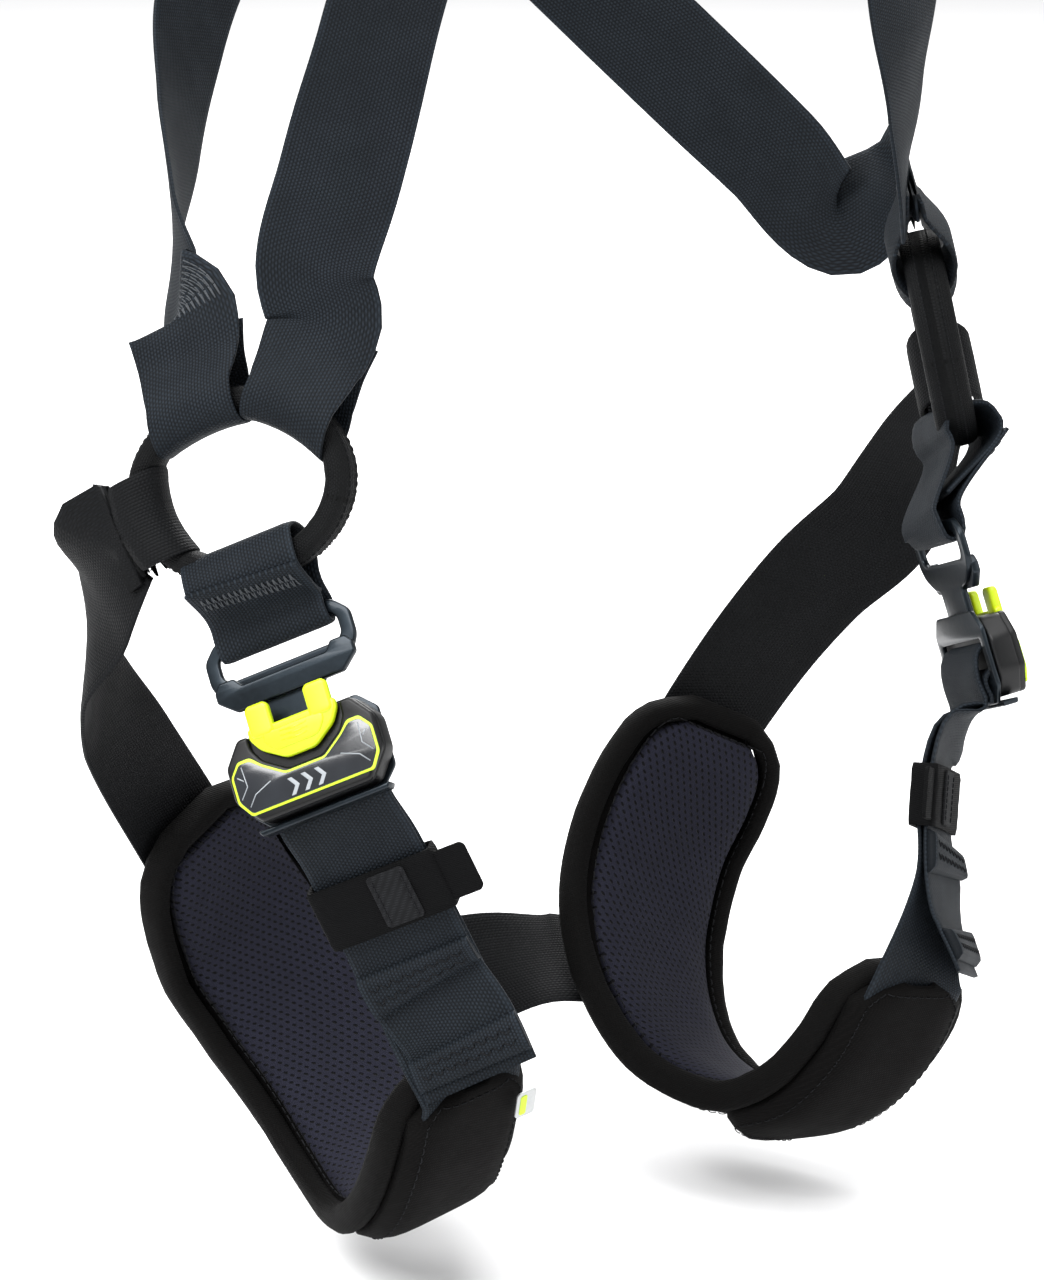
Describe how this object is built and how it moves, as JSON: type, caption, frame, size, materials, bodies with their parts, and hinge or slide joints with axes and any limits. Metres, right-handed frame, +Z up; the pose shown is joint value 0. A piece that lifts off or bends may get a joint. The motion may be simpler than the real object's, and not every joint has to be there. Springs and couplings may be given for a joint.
{
  "type": "tree climbing harness",
  "caption": "Full body tree climbing harness: crossed shoulder straps, hip rings, quick leg buckles, padded leg loops, back plate with ring and chest strap.",
  "frame": {"origin": "on the wearer's body axis at hip height, where the harness is worn", "axes": "+X to the wearer's left, -Y to the wearer's front, +Z up"},
  "size_m": [0.4032, 0.2822, 0.6798],
  "materials": {
    "webbing": "woven",
    "ring_sleeve": "woven, stitched",
    "ring_core": "satin",
    "elastic": "ribbed elastic",
    "pad_shell": "soft matt",
    "pad_foam": "padded",
    "pad_mesh": "perforated mesh",
    "dark_metal": "satin",
    "steel": "satin",
    "plastic": "fine grain",
    "lime": "satin",
    "label": "gloss"
  },
  "bodies": {
    "harness": {"left_rear_strap": "webbing", "left_buckle_base": "dark_metal", "left_buckle_housing": "plastic", "left_buckle_label": "label", "left_adjuster_bar": "steel", "left_front_strap": "webbing", "left_tail_fold_upper": "webbing", "left_tail_fold_lower": "webbing", "left_pad_lining": "pad_mesh", "left_pad_foam": "pad_foam", "left_pad_shell": "pad_shell", "left_pad_pocket": "pad_shell", "right_rear_strap": "webbing", "right_buckle_base": "dark_metal", "right_buckle_housing": "plastic", "right_buckle_label": "label", "right_adjuster_bar": "steel", "right_front_strap": "webbing", "right_tail_fold_upper": "webbing", "right_tail_fold_lower": "webbing", "right_pad_lining": "pad_mesh", "right_pad_foam": "pad_foam", "right_pad_shell": "pad_shell", "right_pad_pocket": "pad_shell", "left_shoulder_strap": "webbing", "right_shoulder_strap": "webbing", "bridge_strap": "webbing", "dorsal_plate": "plastic", "dorsal_pin": "steel", "left_chest_strap": "webbing", "chest_buckle_socket": "plastic"},
    "left_ring": {"left_hip_ring_cover": "ring_sleeve", "left_hip_ring_core": "ring_core"},
    "left_clip": {"left_buckle_frame": "dark_metal", "left_hip_link": "webbing"},
    "left_slider": {"left_release_slider": "lime"},
    "left_elastic": {"left_keeper": "elastic"},
    "right_ring": {"right_hip_ring_cover": "ring_sleeve", "right_hip_ring_core": "ring_core"},
    "right_clip": {"right_buckle_frame": "dark_metal", "right_hip_link": "webbing"},
    "right_slider": {"right_release_slider": "lime"},
    "right_elastic": {"right_keeper": "elastic"},
    "back_ring": {"dorsal_ring": "dark_metal"},
    "chest_clip": {"right_chest_strap": "webbing", "chest_buckle_tongue": "plastic"},
    "chest_button": {"chest_release_button": "lime"}
  },
  "joints": [
    {"name": "left_ring_turn", "type": "hinge", "parent": "harness", "child": "left_ring", "pos_m": [0.162, -0.05, 0.107], "axis": [0.8011, -0.5612, 0.2082], "range_deg": [-5, 5]},
    {"name": "left_buckle_slide", "type": "slide", "parent": "harness", "child": "left_clip", "axis": [-0.0905, 0.3665, 0.926], "range_m": [0, 0.003]},
    {"name": "left_release", "type": "slide", "parent": "harness", "child": "left_slider", "axis": [0.0905, -0.3665, -0.926], "range_m": [0, 0.0025], "stiffness_N_per_m": 400, "springref_m": -0.001},
    {"name": "left_keeper_slide", "type": "slide", "parent": "harness", "child": "left_elastic", "axis": [0.2602, 0.2341, 0.9367], "range_m": [-0.0005, 0.006]},
    {"name": "right_ring_turn", "type": "hinge", "parent": "harness", "child": "right_ring", "pos_m": [-0.158, -0.048, 0.093], "axis": [-0.8011, -0.5612, 0.2082], "range_deg": [-5, 5]},
    {"name": "right_buckle_slide", "type": "slide", "parent": "harness", "child": "right_clip", "axis": [0.0452, 0.5565, 0.8296], "range_m": [0, 0.003]},
    {"name": "right_release", "type": "slide", "parent": "harness", "child": "right_slider", "axis": [-0.0452, -0.5565, -0.8296], "range_m": [0, 0.0025], "stiffness_N_per_m": 400, "springref_m": -0.001},
    {"name": "right_keeper_slide", "type": "slide", "parent": "harness", "child": "right_elastic", "axis": [-0.3625, 0.2175, 0.9062], "range_m": [-0.003, 0.006]},
    {"name": "back_ring_swing", "type": "hinge", "parent": "harness", "child": "back_ring", "pos_m": [0, 0.131, 0.361], "axis": [1, 0, 0], "range_deg": [0, 120]},
    {"name": "chest_clip_slide", "type": "slide", "parent": "harness", "child": "chest_clip", "axis": [-1, 0, 0], "range_m": [0, 0.005]},
    {"name": "chest_release", "type": "slide", "parent": "harness", "child": "chest_button", "axis": [0, 1, 0], "range_m": [0, 0.002], "stiffness_N_per_m": 400, "springref_m": -0.001}
  ]
}
